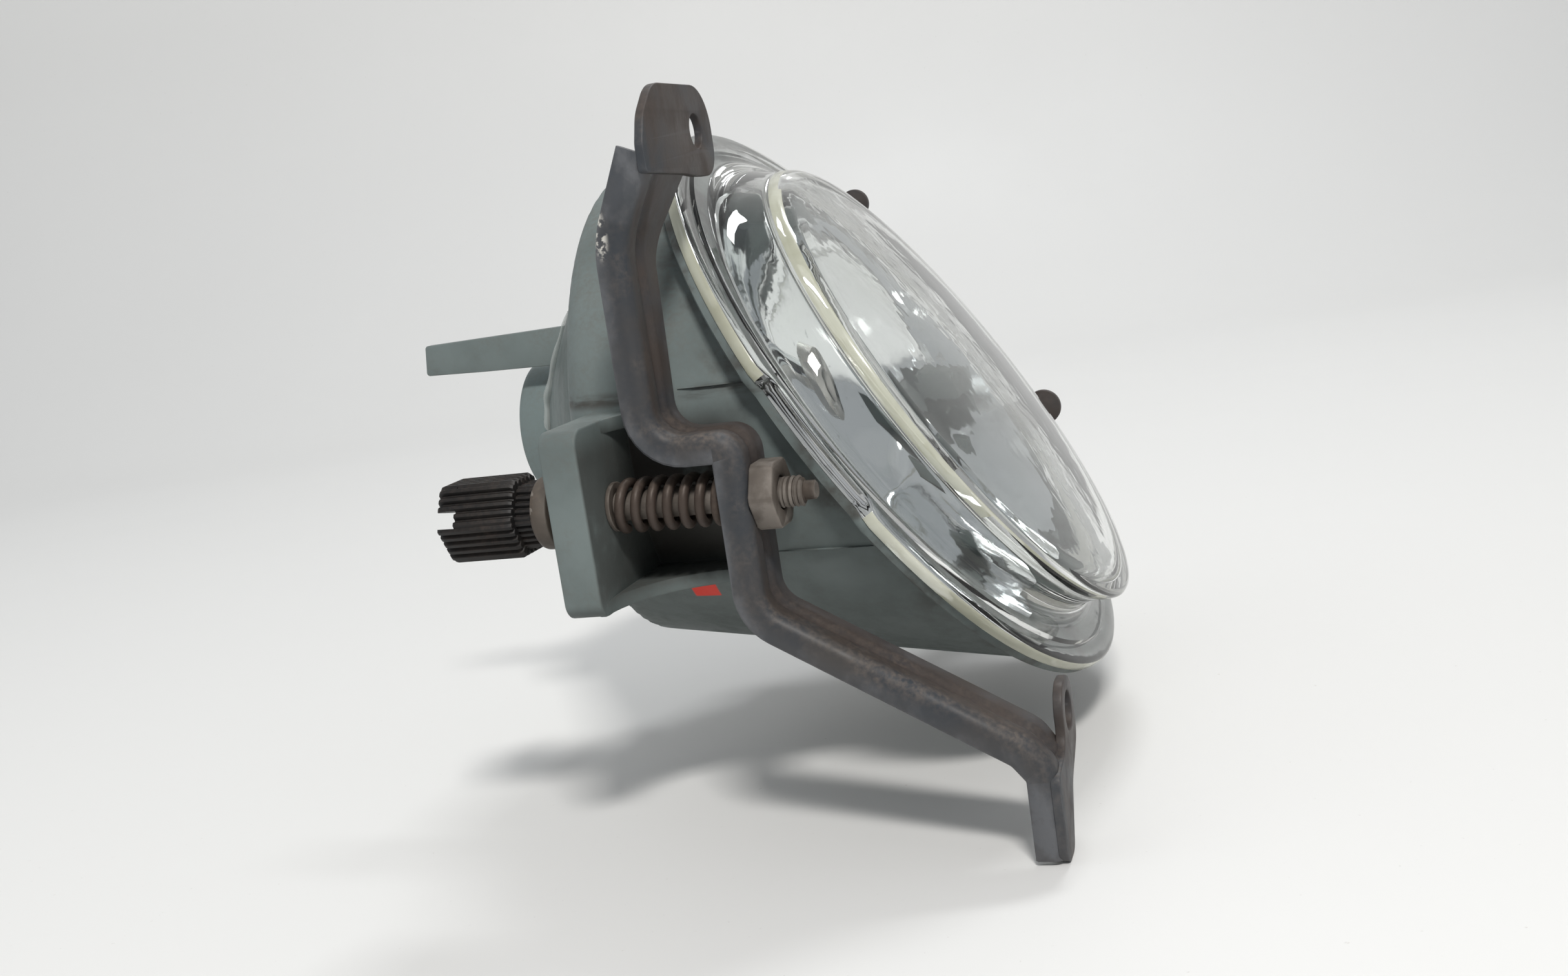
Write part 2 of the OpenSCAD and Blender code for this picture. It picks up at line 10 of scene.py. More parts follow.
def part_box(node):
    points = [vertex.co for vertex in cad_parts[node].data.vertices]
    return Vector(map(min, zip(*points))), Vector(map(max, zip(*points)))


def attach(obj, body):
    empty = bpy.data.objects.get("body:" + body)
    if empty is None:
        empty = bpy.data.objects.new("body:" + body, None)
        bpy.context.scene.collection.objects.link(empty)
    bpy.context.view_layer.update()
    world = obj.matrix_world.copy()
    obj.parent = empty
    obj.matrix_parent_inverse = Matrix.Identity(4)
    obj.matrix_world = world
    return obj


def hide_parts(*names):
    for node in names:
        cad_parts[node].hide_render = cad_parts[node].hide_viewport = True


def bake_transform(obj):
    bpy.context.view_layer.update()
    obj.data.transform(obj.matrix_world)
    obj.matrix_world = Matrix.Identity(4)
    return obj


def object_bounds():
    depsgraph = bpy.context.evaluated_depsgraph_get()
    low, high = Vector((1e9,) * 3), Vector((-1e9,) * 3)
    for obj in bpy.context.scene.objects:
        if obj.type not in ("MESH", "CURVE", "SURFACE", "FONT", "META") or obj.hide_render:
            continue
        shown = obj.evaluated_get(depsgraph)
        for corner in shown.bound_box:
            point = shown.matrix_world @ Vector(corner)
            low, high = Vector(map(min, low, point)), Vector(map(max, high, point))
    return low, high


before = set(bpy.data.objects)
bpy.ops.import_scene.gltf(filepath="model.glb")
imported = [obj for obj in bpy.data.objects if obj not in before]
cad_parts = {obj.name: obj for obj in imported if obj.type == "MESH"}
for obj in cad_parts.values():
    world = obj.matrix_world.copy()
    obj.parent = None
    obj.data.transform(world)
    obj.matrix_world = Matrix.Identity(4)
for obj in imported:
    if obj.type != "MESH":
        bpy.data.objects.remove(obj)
cad_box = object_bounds()

# ---- camera ----------------------------------------------------------------
# The viewpoint: in front of the adjuster side and a little above the light,
# with the horizon slightly out of level.
scene = bpy.context.scene
camera_data = bpy.data.cameras.new("camera")
camera_data.sensor_width = 36
camera_data.lens = 37.05
camera = bpy.data.objects.new("camera", camera_data)
scene.collection.objects.link(camera)
camera_right = Vector((0.9449, 0.2937, -0.1443))
camera_up = Vector((0.0838, 0.2092, 0.9743))
camera_turn = Matrix((camera_right, camera_up, camera_right.cross(camera_up)))
camera_place = camera_turn.transposed().to_4x4()
camera_place.translation = Vector((0.1135, -0.3128, -0.0164))
camera.matrix_world = camera_place
scene.camera = camera
scene.view_settings.view_transform = "Standard"

# ---- table and backdrop ----------------------------------------------------
# A white laminate table top that curves up into a plain pale wall, and the
# room's soft lamps: one broad lamp above and behind, and two weak fills.
floor_z = cad_box[0].z - 0.0004
middle = (cad_box[0] + cad_box[1]) / 2


class Wire:
    """One output of a shader tree, which can be added, multiplied and bent."""

    def __init__(self, tree, socket):
        self.tree = tree
        self.socket = socket

    def maths(self, operation, other, swap=False, clamp=False):
        node = self.tree.nodes.new("ShaderNodeMath")
        node.operation = operation
        node.use_clamp = clamp
        pair = [other, self] if swap else [self, other]
        for slot_number, value in enumerate(pair):
            if isinstance(value, Wire):
                self.tree.links.new(value.socket, node.inputs[slot_number])
            elif value is not None:
                node.inputs[slot_number].default_value = value
        return Wire(self.tree, node.outputs[0])

    def __add__(self, other):
        return self.maths("ADD", other)

    def __sub__(self, other):
        return self.maths("SUBTRACT", other)

    def __rsub__(self, other):
        return self.maths("SUBTRACT", other, swap=True)

    def __mul__(self, other):
        return self.maths("MULTIPLY", other)

    def __pow__(self, other):
        return self.maths("POWER", other)

    __radd__ = __add__
    __rmul__ = __mul__

    def ramp(self, low, high):
        """0 below low and 1 above high, with a smooth rise between them."""
        node = self.tree.nodes.new("ShaderNodeMapRange")
        node.interpolation_type = "SMOOTHSTEP"
        self.tree.links.new(self.socket, node.inputs["Value"])
        for name, value in (("From Min", low), ("From Max", high)):
            node.inputs[name].default_value = value
        return Wire(self.tree, node.outputs["Result"])


class Paint:
    """The node tree of one material, with short names for its usual nodes."""

    def __init__(self, name):
        self.material = bpy.data.materials.new(name)
        self.material.use_nodes = True
        self.tree = self.material.node_tree
        self.shader = self.tree.nodes["Principled BSDF"]
        self.place = self.node("ShaderNodeTexCoord").outputs["Object"]
        split = self.node("ShaderNodeSeparateXYZ", Vector=self.place)
        self.x, self.y, self.z = (Wire(self.tree, s) for s in split.outputs)
        facing = self.node("ShaderNodeNewGeometry")
        lean = self.node("ShaderNodeSeparateXYZ", Vector=facing.outputs["Normal"])
        self.upward = Wire(self.tree, lean.outputs[2])
        self.edge = Wire(self.tree, facing.outputs["Pointiness"])

    def node(self, kind, settings=None, **sockets):
        made = self.tree.nodes.new(kind)
        for key, value in (settings or {}).items():
            setattr(made, key, value)
        for key, value in sockets.items():
            self.plug(made.inputs[key.replace("_", " ")], value)
        return made

    def plug(self, socket, value):
        if isinstance(value, Wire):
            value = value.socket
        if isinstance(value, bpy.types.NodeSocket):
            self.tree.links.new(value, socket)
        else:
            socket.default_value = value

    def noise(self, scale, detail=4.0, stretch=(1, 1, 1), rough=0.55):
        grid = self.node("ShaderNodeMapping", Vector=self.place)
        grid.inputs["Scale"].default_value = stretch
        made = self.node("ShaderNodeTexNoise", Vector=grid.outputs[0], Scale=scale,
                         Detail=detail, Roughness=rough)
        return Wire(self.tree, made.outputs["Fac"])

    def blend(self, first, second, share):
        made = self.node("ShaderNodeMix", {"data_type": "RGBA"})
        self.plug(made.inputs[0], share)
        for socket, value in ((made.inputs[6], first), (made.inputs[7], second)):
            if isinstance(value, tuple):
                value = (*value, 1.0)
            self.plug(socket, value)
        return made.outputs[2]

    def bump(self, height, strength, distance):
        made = self.node("ShaderNodeBump", Height=height, Strength=strength,
                         Distance=distance)
        self.plug(self.shader.inputs["Normal"], made.outputs[0])

    def set(self, **sockets):
        for key, value in sockets.items():
            if isinstance(value, tuple) and len(value) == 3:
                value = (*value, 1.0)
            self.plug(self.shader.inputs[key.replace("_", " ")], value)
        return self


def add_mesh(name, rings, around=True, ends=False, along=False, smooth=40):
    """A skin over rings of points: around closes each ring, along joins last to first."""
    mesh = bpy.data.meshes.new(name)
    count = len(rings[0])
    points = [p for ring in rings for p in ring]
    faces = []
    for i in range(len(rings) if along else len(rings) - 1):
        low, high = i * count, (i + 1) % len(rings) * count
        for j in range(count if around else count - 1):
            k = (j + 1) % count
            faces.append((low + j, low + k, high + k, high + j))
    if ends:
        faces.append(tuple(reversed(range(count))))
        faces.append(tuple(range(len(points) - count, len(points))))
    mesh.from_pydata([tuple(p) for p in points], [], faces)
    return finish_mesh(name, mesh, smooth)


def finish_mesh(name, mesh, smooth=40):
    """Merges doubled points, turns the faces outward and shades the gentle bends smooth."""
    work = bmesh.new()
    work.from_mesh(mesh)
    bmesh.ops.remove_doubles(work, verts=work.verts, dist=2e-6)
    bmesh.ops.recalc_face_normals(work, faces=work.faces)
    work.to_mesh(mesh)
    work.free()
    piece = bpy.data.objects.new(name, mesh)
    scene.collection.objects.link(piece)
    mesh.shade_smooth()
    mesh.set_sharp_from_angle(angle=math.radians(smooth))
    return piece


def wear_on(piece, paint):
    piece.data.materials.clear()
    piece.data.materials.append(paint.material)
    return piece


table_paint = Paint("white_table")
speck = table_paint.noise(700, 2).ramp(0.72, 0.8)
tone = table_paint.noise(6, 4)
table_paint.set(
    Base_Color=table_paint.blend(
        table_paint.blend((0.86, 0.855, 0.84), (0.83, 0.825, 0.81), tone),
        (0.5, 0.46, 0.42), speck * 0.35),
    Roughness=tone * 0.2 + 0.42)
table_depth, table_bend, wall_height = 1.1, 0.35, 2.2
table_line = [Vector((0, -2.5, 0)), Vector((0, table_depth - table_bend, 0))]
table_line += [
    Vector((0, table_depth - table_bend + table_bend * math.sin(a * math.pi / 32),
            table_bend * (1 - math.cos(a * math.pi / 32)))) for a in range(1, 17)]
table_line.append(Vector((0, table_depth, wall_height)))
facing_away = -camera_turn.row[2].copy()
facing_away.z = 0
facing_away.normalize()
table_turn = math.atan2(facing_away.y, facing_away.x) - math.pi / 2
table_rows = []
for side in (-3.5, 3.5):
    table_rows.append([
        Matrix.Rotation(table_turn, 3, "Z") @ (p + Vector((side, 0, 0)))
        + Vector((middle.x, middle.y, floor_z)) for p in table_line])
table = add_mesh("table", table_rows, around=False, smooth=60)
wear_on(table, table_paint)

world = bpy.data.worlds.new("room")
world.use_nodes = True
world.node_tree.nodes["Background"].inputs[0].default_value = (0.93, 0.96, 1.0, 1)
world.node_tree.nodes["Background"].inputs[1].default_value = 0.36
scene.world = world


def lamp(name, place, size, power, tint, aim=None):
    """A soft rectangular lamp that faces the light."""
    data = bpy.data.lights.new(name, "AREA")
    data.shape = "RECTANGLE"
    data.size, data.size_y = size
    data.energy = power
    data.color = tint
    made = bpy.data.objects.new(name, data)
    scene.collection.objects.link(made)
    made.location = middle + Vector(place)
    made.rotation_euler = ((aim or middle) - made.location).to_track_quat("-Z", "Y").to_euler()


lamp("ceiling_lamp", (0.42, -0.85, 1.0), (0.24, 0.15), 12, (1.0, 0.98, 0.95))
lamp("back_lamp", (0.1, 0.75, 1.25), (0.4, 0.2), 6, (0.97, 0.99, 1.0))
lamp("window_side", (-1.1, -0.3, 0.9), (0.8, 0.8), 1.5, (0.92, 0.97, 1.0))

# ---- adjuster bracket ------------------------------------------------------
# A strip pressed from 1.8 mm sheet steel: its near edge is turned back into a
# stiffening flange, a groove runs down its web, and it ends in two bolt plates.
mm = 0.001
sheet = 1.8


def aged(name, base, shade, dust, gloss=0.45, dusting=0.5, metallic=0.0, grain=0.00008,
         wear=None):
    """A handled surface: two tones of its own colour, dust where it settles, worn edges."""
    paint = Paint(name)
    broad = paint.noise(38, 5).ramp(0.36, 0.66)
    fine = paint.noise(900, 3)
    cloud = paint.noise(120, 6, (1, 1.2, 0.8)).ramp(0.42, 0.7)
    colour = paint.blend(base, shade, broad)
    settled = paint.upward.ramp(-0.2, 0.95) * 0.6 + cloud * 0.55
    colour = paint.blend(colour, dust, settled * fine.ramp(0.3, 0.75) * dusting)
    if wear:
        rubbed = paint.edge.ramp(0.515, 0.57) * cloud.maths("ADD", 0.35)
        colour = paint.blend(colour, wear, rubbed.maths("MINIMUM", 0.85))
    paint.set(Base_Color=colour, Metallic=metallic,
              Roughness=(cloud * 0.22 + fine * 0.12 + (gloss - 0.1)))
    paint.set(Specular_IOR_Level=0.3)
    paint.bump(fine * 0.5 + cloud * 0.5, 0.5, grain)
    return paint


black_paint = aged("dusty_black_paint", (0.036, 0.042, 0.050), (0.058, 0.054, 0.052),
                   (0.175, 0.142, 0.118), gloss=0.5, dusting=0.65, grain=0.00015,
                   wear=(0.13, 0.135, 0.145))
axis_low, axis_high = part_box("bulb_base")
rim_centre = Vector((axis_high.x + 60 * mm, (axis_low.y + axis_high.y) / 2,
                     (axis_low.z + axis_high.z) / 2))


def at(x, y, z):
    """A point given in millimetres from the centre of the lens rim."""
    return rim_centre + Vector((x, y, z)) * mm


def rounded_path(corners, radii, step=8):
    """Points and headings along a line whose corners are turned with these radii."""
    points = [Vector(corners[0])]
    for before, corner, after, radius in zip(corners, corners[1:], corners[2:], radii):
        corner = Vector(corner)
        into, out = (corner - Vector(before)), (Vector(after) - corner)
        turn = into.angle_signed(out)
        cut = min(radius * abs(math.tan(turn / 2)), 0.48 * into.length, 0.48 * out.length)
        radius = cut / abs(math.tan(turn / 2))
        start = corner - into.normalized() * cut
        side = Vector((-into.y, into.x)).normalized() * (-math.copysign(1, turn))
        centre = start + side * radius
        for i in range(step + 1):
            swing = Matrix.Rotation(-turn * i / step, 2)
            points.append(centre + swing @ (start - centre))
    points.append(Vector(corners[-1]))
    line = []
    for i, p in enumerate(points):
        heading = (points[min(i + 1, len(points) - 1)] - points[max(i - 1, 0)]).normalized()
        line.append((p, heading))
    return line


web_path = [(-21, 60), (-28.3, 44), (-28.3, 7), (-11.3, 7), (-11.3, -28), (36.8, -56.8),
            (41.2, -62.5), (41.2, -80.4)]
web_line = rounded_path(web_path, [20, 5.5, 5.5, 6, 9, 7])
near_edge, lip = -89.0, 6.0
corner_r = 2.6
bracket_rings = []
travel = 0.0
for i, (p, heading) in enumerate(web_line):
    back = Vector((heading.y, -heading.x))
    if i:
        travel += (p - web_line[i - 1][0]).length
    groove = 1.0 if 6 < travel else 0.0
    far_edge = -75.0 + 11.5 * max(0.0, min(1.0, (p.y - 34) / 22)) ** 1.5
    far_edge -= 5.0 * max(0.0, min(1.0, (-58 - p.y) / 16))
    outer = [(far_edge, -0.0)]
    mid = near_edge + 7.8
    for k in range(9):
        along = mid + 2.6 - 5.2 * k / 8
        outer.append((along, groove * 0.5 * (1 + math.cos((k / 8 - 0.5) * 2 * math.pi))))
    for k in range(7):
        a = math.pi / 2 * k / 6
        outer.append((near_edge + corner_r - corner_r * math.sin(a),
                      corner_r - corner_r * math.cos(a)))
    outer.append((near_edge, lip - 0.5))
    outer.append((near_edge + 0.45, lip))
    inner = [(near_edge + sheet - 0.4, lip), (near_edge + sheet, lip - 0.5)]
    inside_r = corner_r - sheet + 0.3
    for k in range(6, -1, -1):
        a = math.pi / 2 * k / 6
        inner.append((near_edge + sheet + inside_r - inside_r * math.sin(a),
                      sheet + inside_r - inside_r * math.cos(a)))
    for k in range(8, -1, -1):
        along = mid + 2.2 - 4.4 * k / 8
        dip = 0.5 * (1 + math.cos((k / 8 - 0.5) * 2 * math.pi))
        inner.append((along, sheet + groove * dip))
    inner.append((far_edge, sheet - 0.2))
    ring = []
    for y, depth in outer + inner:
        q = p + back * depth
        ring.append(at(q.x, y, q.y))
    bracket_rings.append(ring)
bracket = add_mesh("bracket_strip", bracket_rings, ends=True, smooth=38)


def plate(name, outline, holes, x_back, x_front, steps=48):
    """A flat pressed plate square to X, with round holes, from an outline in Y and Z."""
    curve = bpy.data.curves.new(name, "CURVE")
    curve.dimensions = "2D"
    curve.fill_mode = "BOTH"
    curve.extrude = (x_front - x_back) / 2 * mm - 0.25 * mm
    curve.bevel_depth = 0.25 * mm
    curve.bevel_resolution = 2
    loops = [outline]
    for cy, cz, ry, rz in holes:
        loops.append([(cy + ry * math.cos(2 * math.pi * i / steps),
                       cz + rz * math.sin(2 * math.pi * i / steps)) for i in range(steps)])
    for loop in loops:
        spline = curve.splines.new("POLY")
        spline.points.add(len(loop) - 1)
        for point, (y, z) in zip(spline.points, loop):
            point.co = (y * mm, z * mm, 0, 1)
        spline.use_cyclic_u = True
    drawn = bpy.data.objects.new(name, curve)
    scene.collection.objects.link(drawn)
    graph = bpy.context.evaluated_depsgraph_get()
    mesh = bpy.data.meshes.new_from_object(drawn.evaluated_get(graph))
    bpy.data.objects.remove(drawn)
    to_x = Matrix(((0, 0, 1), (1, 0, 0), (0, 1, 0))).to_4x4()
    to_x.translation = rim_centre + Vector(((x_back + x_front) / 2 * mm, 0, 0))
    mesh.transform(to_x)
    return finish_mesh(name, mesh, 40)


def outline_round(corners, radii, step=10):
    """A closed outline with its corners turned to these radii."""
    loop = rounded_path([corners[-1]] + corners + [corners[0]], radii, step)
    return [(p.x, p.y) for p, _ in loop[1:-1]]


def join(name, pieces):
    """One mesh out of several."""
    work = bmesh.new()
    for piece in pieces:
        work.from_mesh(piece.data)
    mesh = bpy.data.meshes.new(name)
    work.to_mesh(mesh)
    work.free()
    for piece in pieces:
        bpy.data.objects.remove(piece)
    made = bpy.data.objects.new(name, mesh)
    scene.collection.objects.link(made)
    mesh.shade_smooth()
    mesh.set_sharp_from_angle(angle=math.radians(42))
    return made


upper_plate = plate("upper_plate", outline_round(
    [(-88.6, 57.0), (-68.0, 56.2), (-62.0, 55.6), (-50.3, 55.4), (-50.3, 73.2),
     (-79.6, 73.2), (-86.2, 67.5), (-88.7, 62.0)], [1, 6, 5, 8.5, 8.5, 9, 9, 3]),
    [(-59.3, 64.3, 3.7, 3.7)], -22.75, -20.95)
lower_plate = plate("lower_plate", outline_round(
    [(-88.8, -81), (-81.5, -81), (-75, -70), (-63.8, -64), (-63.8, -50.6), (-77, -50.6),
     (-77, -62), (-88.8, -64)], [2.5, 3, 6, 5, 6, 6, 5, 2]),
    [(-70.5, -57, 4.2, 4.2)], 39.7, 41.6)
bracket = join("bracket", [bracket, upper_plate, lower_plate])
chip_place = at(-32.5, near_edge, 47)
spot = (black_paint.x - chip_place.x) ** 2.0 * 3.0 + (black_paint.z - chip_place.z) ** 2.0 * 0.3
chip = (1.0 - (spot ** 0.5).ramp(0.0012, 0.0034)) * black_paint.noise(420, 3).ramp(0.5, 0.56)
old_colour = black_paint.shader.inputs["Base Color"].links[0].from_socket
on_web = (black_paint.y - at(0, near_edge, 0).y).ramp(0.0012, 0.0034)
on_web = on_web * black_paint.noise(75, 4).ramp(0.2, 0.6)
old_colour = black_paint.blend(old_colour, (0.062, 0.046, 0.038), on_web * 0.7)
black_paint.set(Base_Color=black_paint.blend(old_colour, (0.62, 0.6, 0.55), chip))
wear_on(bracket, black_paint)
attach(bracket, "bracket")
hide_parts("adjuster_bracket")

# ---- housing ---------------------------------------------------------------
# A bowl moulded in grey polypropylene. Its section is an oval that falls to the
# front, its rear is a cone round the bulb port, and its rim is swept back.
plastic = aged("grey_moulded_plastic", (0.172, 0.206, 0.202), (0.130, 0.157, 0.153),
               (0.130, 0.105, 0.085), gloss=0.52, dusting=0.35, grain=0.00006)
sweep = math.radians(32)
rim_normal = Vector((math.cos(sweep), 0, math.sin(sweep)))
rim_up = Vector((-math.sin(sweep), 0, math.cos(sweep)))
bowl_lines = [(-90.3, 12.6), (-90.3, 14.6), (-89.9, 15.0), (-84.0, 15.0), (-83.8, 15.4),
              (-83.8, 20.0), (-83.2, 21.6), (-67.6, 45.0), (-65.6, 47.2), (-60.2, 51.4),
              (-58.9, 53.2)]
bowl_lines += [(-47 + 11 * math.cos(math.radians(a)), 60 + 11 * math.sin(math.radians(a)))
               for a in range(170, 89, -10)]
bowl_lines += [(-47 + 11.7 * k, 71 + 0.6 * k) for k in range(1, 11)]


def oval_radius(x, angle, inset):
    """Distance from the axis to the tilted oval section at this X, along this angle."""
    lift = -3.5 - x * math.tan(math.radians(8))
    half_y, half_z = 71 - inset, (56 - inset) / math.cos(math.radians(8))
    cy, cz = math.cos(angle), math.sin(angle)
    a = (cy / half_y) ** 2 + (cz / half_z) ** 2
    b = -2 * cz * lift / half_z ** 2
    c = (lift / half_z) ** 2 - 1
    return (-b + math.sqrt(b * b - 4 * a * c)) / (2 * a)


def bowl_side(angle, inset, stop, count, lines):
    """The bowl's outline along one direction, cut off at the rim plane."""
    dense = []
    for (x0, r0), (x1, r1) in zip(lines, lines[1:]):
        parts = max(1, int(math.hypot(x1 - x0, r1 - r0) / 1.2))
        for k in range(parts):
            dense.append((x0 + (x1 - x0) * k / parts, r0 + (r1 - r0) * k / parts))
    kept = []
    for x, r in dense:
        limit = oval_radius(x, angle, inset)
        soft = 1.6
        low = min(r, limit)
        r = low - soft * math.log(math.exp((low - r) / soft) + math.exp((low - limit) / soft))
        z = r * math.sin(angle)
        height = x * rim_normal.x + z * rim_normal.z
        if height > stop:
            if kept:
                px, pr, ph = kept[-1]
                t = (stop - ph) / (height - ph)
                kept.append((px + (x - px) * t, pr + (r - pr) * t, stop))
            break
        kept.append((x, r, height))
    lengths = [0.0]
    for (x0, r0, _), (x1, r1, _) in zip(kept, kept[1:]):
        lengths.append(lengths[-1] + math.hypot(x1 - x0, r1 - r0))
    made = []
    j = 0
    for k in range(count):
        goal = lengths[-1] * k / (count - 1)
        while j < len(lengths) - 2 and lengths[j + 1] < goal:
            j += 1
        t = (goal - lengths[j]) / max(lengths[j + 1] - lengths[j], 1e-9)
        x = kept[j][0] + (kept[j + 1][0] - kept[j][0]) * t
        r = kept[j][1] + (kept[j + 1][1] - kept[j][1]) * t
        made.append(at(x, r * math.cos(angle), r * math.sin(angle)))
    return made


inner_lines = [(-90.2, 12.5), (-81.4, 12.6), (-81.4, 19.8), (-64.6, 45.2), (-56.6, 51.9)]
inner_lines += [(-47 + 8.6 * math.cos(math.radians(a)), 60 + 8.6 * math.sin(math.radians(a)))
                for a in range(170, 89, -10)]
inner_lines += [(-47 + 11.7 * k, 68.6 + 0.6 * k) for k in range(1, 11)]
bowl_rings = []
directions = 180
for i in range(directions):
    angle = 2 * math.pi * i / directions
    out_side = bowl_side(angle, 0, -2, 90, bowl_lines)
    in_side = bowl_side(angle, 2.4, -2, 60, inner_lines)
    bowl_rings.append(out_side + in_side[::-1])
bowl = add_mesh("bowl", bowl_rings, around=True, along=True, smooth=32)


def rim_point(height, radius, angle, lean=0.0):
    """A point on a ring round the rim axis; lean slides the ring along the rim plane."""
    if radius > 75.5 and math.sin(angle) < 0:
        across = radius * math.cos(angle)
        inside = (min(1, max(0, (across + 16.6) / 1.2))
                  * min(1, max(0, (18.6 - across) / 1.2)))
        radius += (75.5 - radius) * inside
    spot = rim_normal * height + rim_up * (lean + radius * math.cos(angle))
    return rim_centre + Vector((spot.x, radius * math.sin(angle), spot.z)) * mm


def rim_ring(name, section, count=240):
    """A closed section of (height, radius) points turned about the rim axis."""
    rings = [[rim_point(h, r, 2 * math.pi * i / count) for h, r in section]
             for i in range(count)]
    return add_mesh(name, rings, around=True, along=True, smooth=40)


rim_flange = rim_ring("rim_flange", [(-4, 68), (-4, 77.1), (-3.6, 77.5), (-2.2, 77.5),
                                     (-2.05, 77.2), (-2.05, 68)])


def rounded(piece, width, segments=2, angle=35):
    """Breaks the sharp edges of a piece, as moulding and pressing do."""
    bevel = piece.modifiers.new("bevel", "BEVEL")
    bevel.width, bevel.segments = width, segments
    bevel.limit_method, bevel.angle_limit = "ANGLE", math.radians(angle)
    graph = bpy.context.evaluated_depsgraph_get()
    finished = bpy.data.meshes.new_from_object(piece.evaluated_get(graph))
    piece.modifiers.clear()
    piece.data = finished
    finished.shade_smooth()
    finished.set_sharp_from_angle(angle=math.radians(50))
    return piece


def prism(name, outline, start, end, turn, bevel=0.5, segments=2):
    """A block over a flat outline, with broken edges; turn sends outline and height to XYZ."""
    low = [turn(a, b, start) for a, b in outline]
    high = [turn(a, b, end) for a, b in outline]
    block = add_mesh(name, [low, high], ends=True)
    return rounded(block, bevel * mm, segments)


def on_z(x, y, z):
    return at(x, y, z)


def on_x(y, z, x):
    return at(x, y, z)


def on_y(x, z, y):
    return at(x, y, z)


ear = prism("ear", outline_round([(-95, 11), (-95, -26.5), (-57, -26.5), (-57, 11)],
                                 [3.5, 3.5, 0.5, 0.5]), -50, -42, on_x, 0.9, 3)


def gusset_outline(radius, centre_y):
    """The side of a gusset: a concave arc from the ear round to the bowl's wall."""
    loop = [(-44, centre_y), (-42, centre_y)]
    loop += [(-42 + radius - radius * math.cos(math.radians(a)),
              centre_y + radius * math.sin(math.radians(a))) for a in range(4, 91, 4)]
    return loop + [(-42 + radius, -58), (-44, -58)]


lower_gusset = prism("lower_gusset", gusset_outline(21, -93.2), -26.4, -23.4, on_z, 0.5)
upper_gusset = prism("upper_gusset", gusset_outline(12, -83), 7.9, 10.9, on_z, 0.5)
lug_shape = outline_round([(-15.5, 52), (-3.5, 52), (-3.5, 85), (-15.5, 85)],
                          [0.5, 0.5, 5.9, 5.9])
lugs = [prism("lug", lug_shape, z, z + 8, on_z, 0.4) for z in (-34, -14)]
arm = prism("rear_arm", outline_round(
    [(-116.6, 18.2), (-115.6, 25.6), (-72, 26.4), (-72, 17), (-100, 17.6)],
    [0.8, 0.8, 0.3, 0.3, 30]), -17.2, -14.6, on_y, 0.35)
seams = []
for z, x0, x1 in ((13.9, -30, -9), (-22, -15, 10)):
    wall_y = -oval_radius((x0 + x1) / 2, math.atan2(z, -71), 0)
    line = []
    for k in range(7):
        x = x0 + (x1 - x0) * k / 6
        angle = math.pi + math.asin(max(-1, min(1, -z / 71)))
        r = min(oval_radius(x, angle, 0), 71 + (x + 52) * 0.05)
        y = r * math.cos(angle)
        line.append((x, y + 0.9))
    ridge = [[at(x, y, z - 0.35), at(x, y - 0.75 * math.sin(math.pi * k / 6) ** 0.5 - 0.55, z),
              at(x, y, z + 0.35)] for k, (x, y) in enumerate(line)]
    seams.append(add_mesh("seam", ridge, ends=True, smooth=60))
spigot_y, spigot_z = 18, -36
spigot = prism("spigot", [(spigot_y + 3 * math.cos(a * math.pi / 16),
                           spigot_z + 3 * math.sin(a * math.pi / 16)) for a in range(32)],
               -76.4, -66, on_x, 0.2)
housing = join("housing_shell", [bowl, rim_flange, ear, lower_gusset, upper_gusset, arm,
                                 spigot] + lugs + seams)
grime_line = 1.0 - ((plastic.z - at(0, 0, 13.0).z).maths("ABSOLUTE", None)).ramp(0.0002, 0.0022)
near_wall = 1.0 - (plastic.y - at(0, -50, 0).y).ramp(-0.004, 0.004)
streak = grime_line * near_wall * plastic.noise(160, 4, (0.4, 1, 2)).ramp(0.4, 0.62)
rim_height = ((plastic.x - rim_centre.x) * rim_normal.x
              + (plastic.z - rim_centre.z) * rim_normal.z)
under_rim = rim_height.ramp(-0.016, -0.003) * plastic.noise(95, 5).ramp(0.46, 0.66)
shaded = plastic.shader.inputs["Base Color"].links[0].from_socket
shaded = plastic.blend(shaded, (0.045, 0.035, 0.028),
                       (streak * 0.75).maths("MAXIMUM", under_rim * 0.75))
# Painted shade: the pocket on the near wall between the ear and the two gussets is darkened as
# though in shadow.
painted_pocket_shade = (plastic.x - at(-42.5, 0, 0).x).ramp(0, 0.0008) * (
    1.0 - (plastic.x - at(-18, 0, 0).x).ramp(-0.006, 0.006)) * near_wall * (
    1.0 - ((plastic.z - at(0, 0, -8).z).maths("ABSOLUTE", None)).ramp(0.012, 0.020))
shaded = plastic.blend(shaded, (0.026, 0.020, 0.016),
                       painted_pocket_shade * plastic.noise(70, 5).ramp(0.15, 0.45) * 0.9)
# Painted shade: faces that point downward are darkened to stand in for the shadow under the
# bowl.
painted_underside_shade = 1.0 - plastic.upward.ramp(-0.95, 0.05)
shaded = plastic.blend(shaded, (0.050, 0.055, 0.050), painted_underside_shade * 0.6)
dab_side = 1.0 - (plastic.y - at(0, -56.0, 0).y).ramp(-0.0006, 0.0006)
dab_x = 1.0 - ((plastic.x - at(-35.0, 0, 0).x).maths("ABSOLUTE", None)).ramp(0.0028, 0.0033)
dab_z = 1.0 - ((plastic.z - at(0, 0, -29.8).z).maths("ABSOLUTE", None)).ramp(0.0028, 0.0031)
dab = dab_x * dab_z * dab_side * plastic.noise(300, 2).ramp(0.25, 0.32)
plastic.set(Base_Color=plastic.blend(shaded, (0.62, 0.045, 0.03), dab))
wear_on(housing, plastic)
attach(housing, "lamp")
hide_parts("housing")

